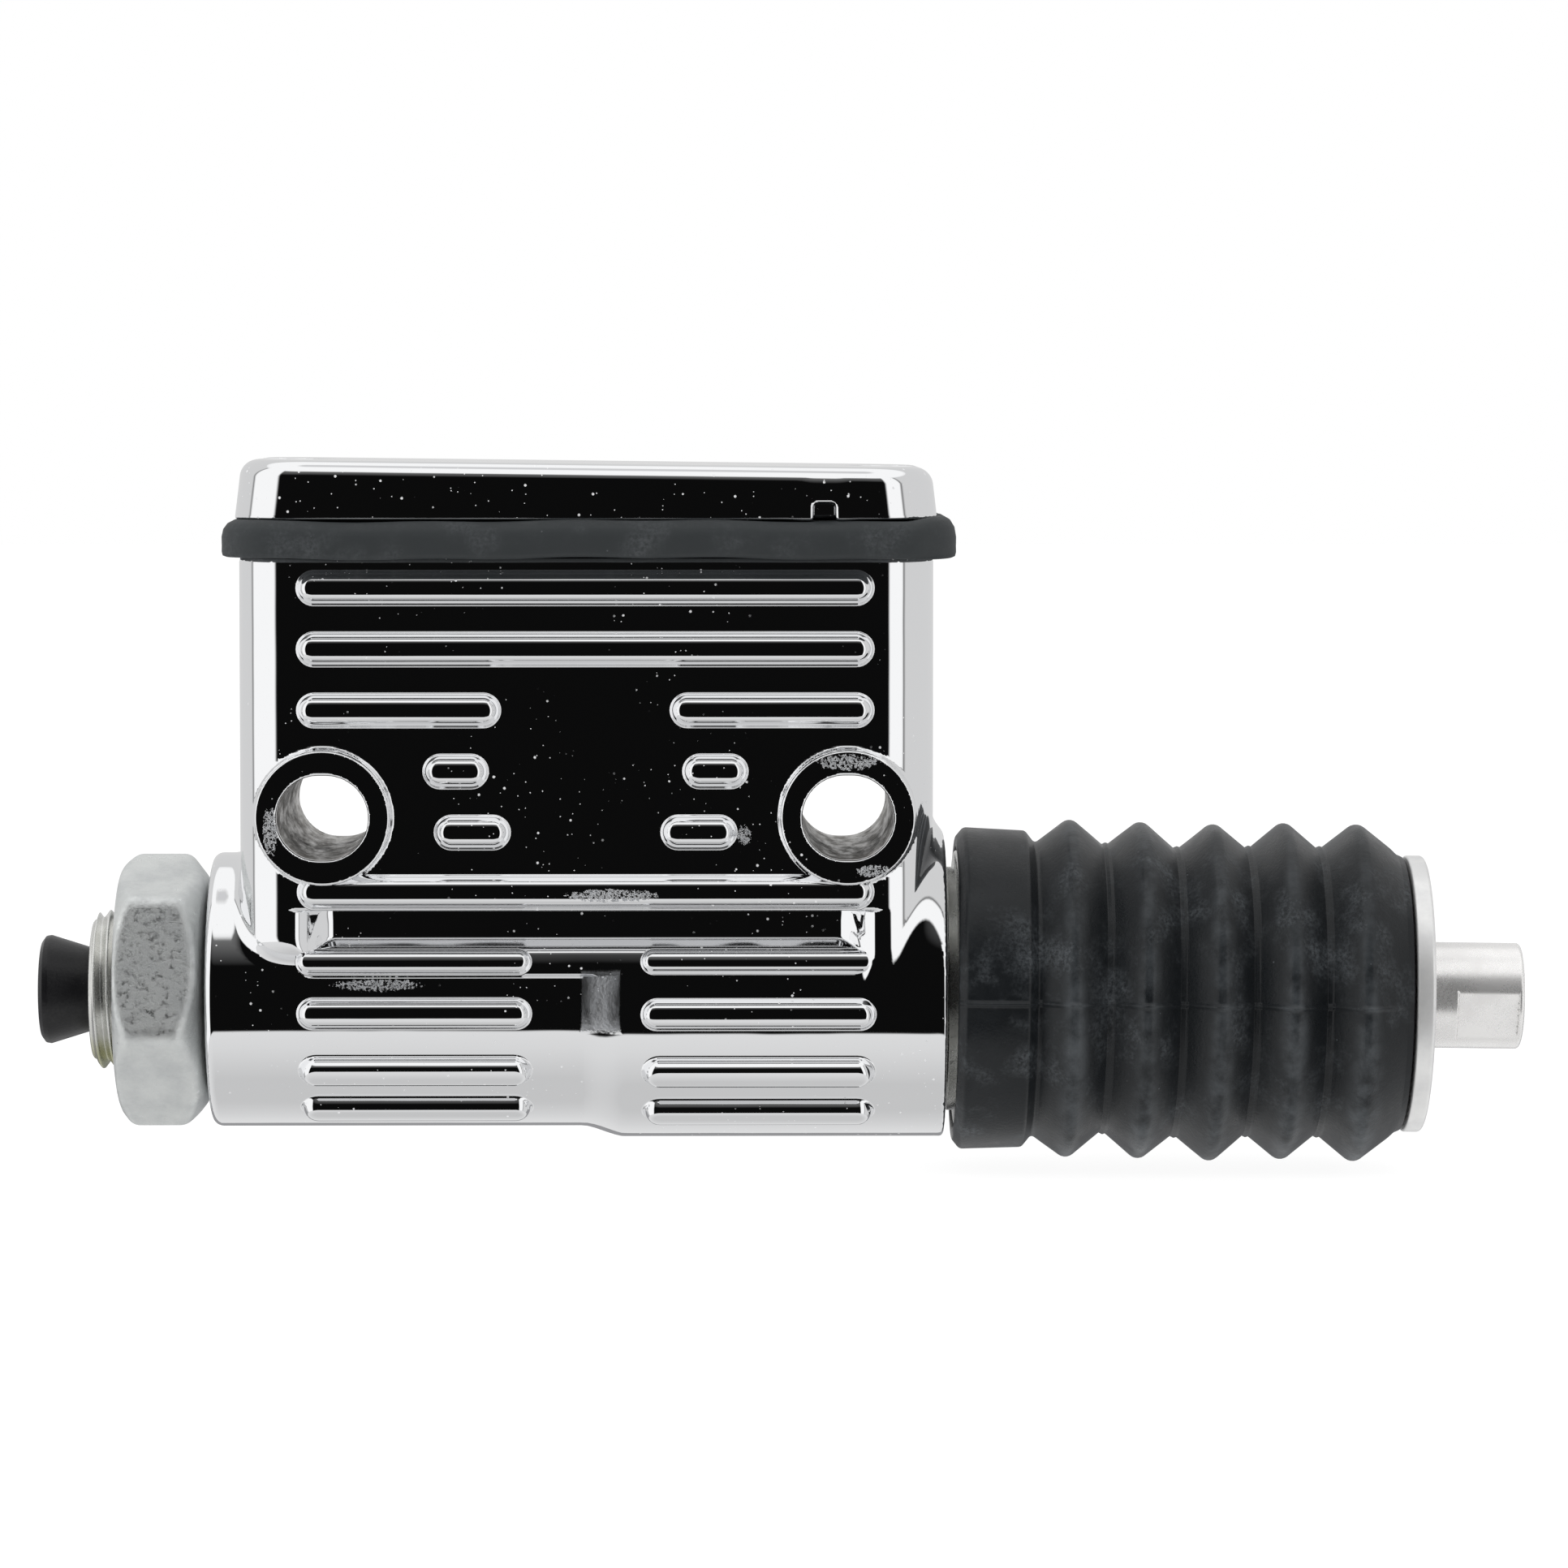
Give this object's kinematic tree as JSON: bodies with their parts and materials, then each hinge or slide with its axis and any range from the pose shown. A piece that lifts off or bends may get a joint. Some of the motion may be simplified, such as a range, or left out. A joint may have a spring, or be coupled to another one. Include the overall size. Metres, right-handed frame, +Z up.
{
  "type": "brake master cylinder",
  "caption": "Chrome reservoir body with a horizontal barrel, raised ribs, two mounting bosses, a capped reservoir and a booted pushrod that works a sprung piston.",
  "frame": {"origin": "on the bore's axis, in the barrel's end face where the bracket is clamped", "axes": "+X along the bore towards the pushrod, -Y the ribbed front, +Z up towards the cover"},
  "size_m": [0.1766, 0.0426, 0.0845],
  "materials": {
    "chrome": "polished chrome plate with fine specks",
    "zinc_plate": "satin clear zinc plate",
    "spring_steel": "oiled spring wire",
    "aluminium": "anodised",
    "brass": "turned",
    "boot_rubber": "moulded, dusty",
    "gasket_rubber": "moulded, matte",
    "seal_rubber": "smooth, oiled",
    "plug_plastic": "soft black plastic"
  },
  "bodies": {
    "housing": {"reservoir_body": "chrome", "reservoir_cover": "chrome", "cover_gasket": "gasket_rubber", "cover_screw_left": "zinc_plate", "cover_screw_right": "zinc_plate", "cartridge_body": "zinc_plate", "jam_nut": "zinc_plate", "front_o_ring": "seal_rubber", "rear_o_ring": "seal_rubber", "piston_spring": "spring_steel", "return_spring": "spring_steel", "stop_washer": "zinc_plate", "retaining_ring": "spring_steel", "dust_boot": "boot_rubber"},
    "piston": {"piston": "aluminium", "primary_cup": "seal_rubber", "secondary_cup": "seal_rubber", "cup_washer": "brass", "spring_seat": "brass", "spring_retainer": "zinc_plate"},
    "pushrod": {"pushrod": "zinc_plate"},
    "plug": {"outlet_plug": "plug_plastic"}
  },
  "joints": [
    {"name": "piston_slide", "type": "slide", "parent": "housing", "child": "piston", "axis": [-1, 0, 0], "range_m": [0, 0.016], "stiffness_N_per_m": 1500, "springref_m": -0.01, "deforming": ["dust_boot", "return_spring", "piston_spring"]},
    {"name": "pushrod_spin", "type": "hinge", "parent": "piston", "child": "pushrod", "pos_m": [0.0846, 0, 0], "axis": [0.9999, 0, -0.014], "continuous": true},
    {"name": "plug_pull", "type": "slide", "parent": "housing", "child": "plug", "axis": [-1, 0, 0], "range_m": [0, 0.012]}
  ]
}
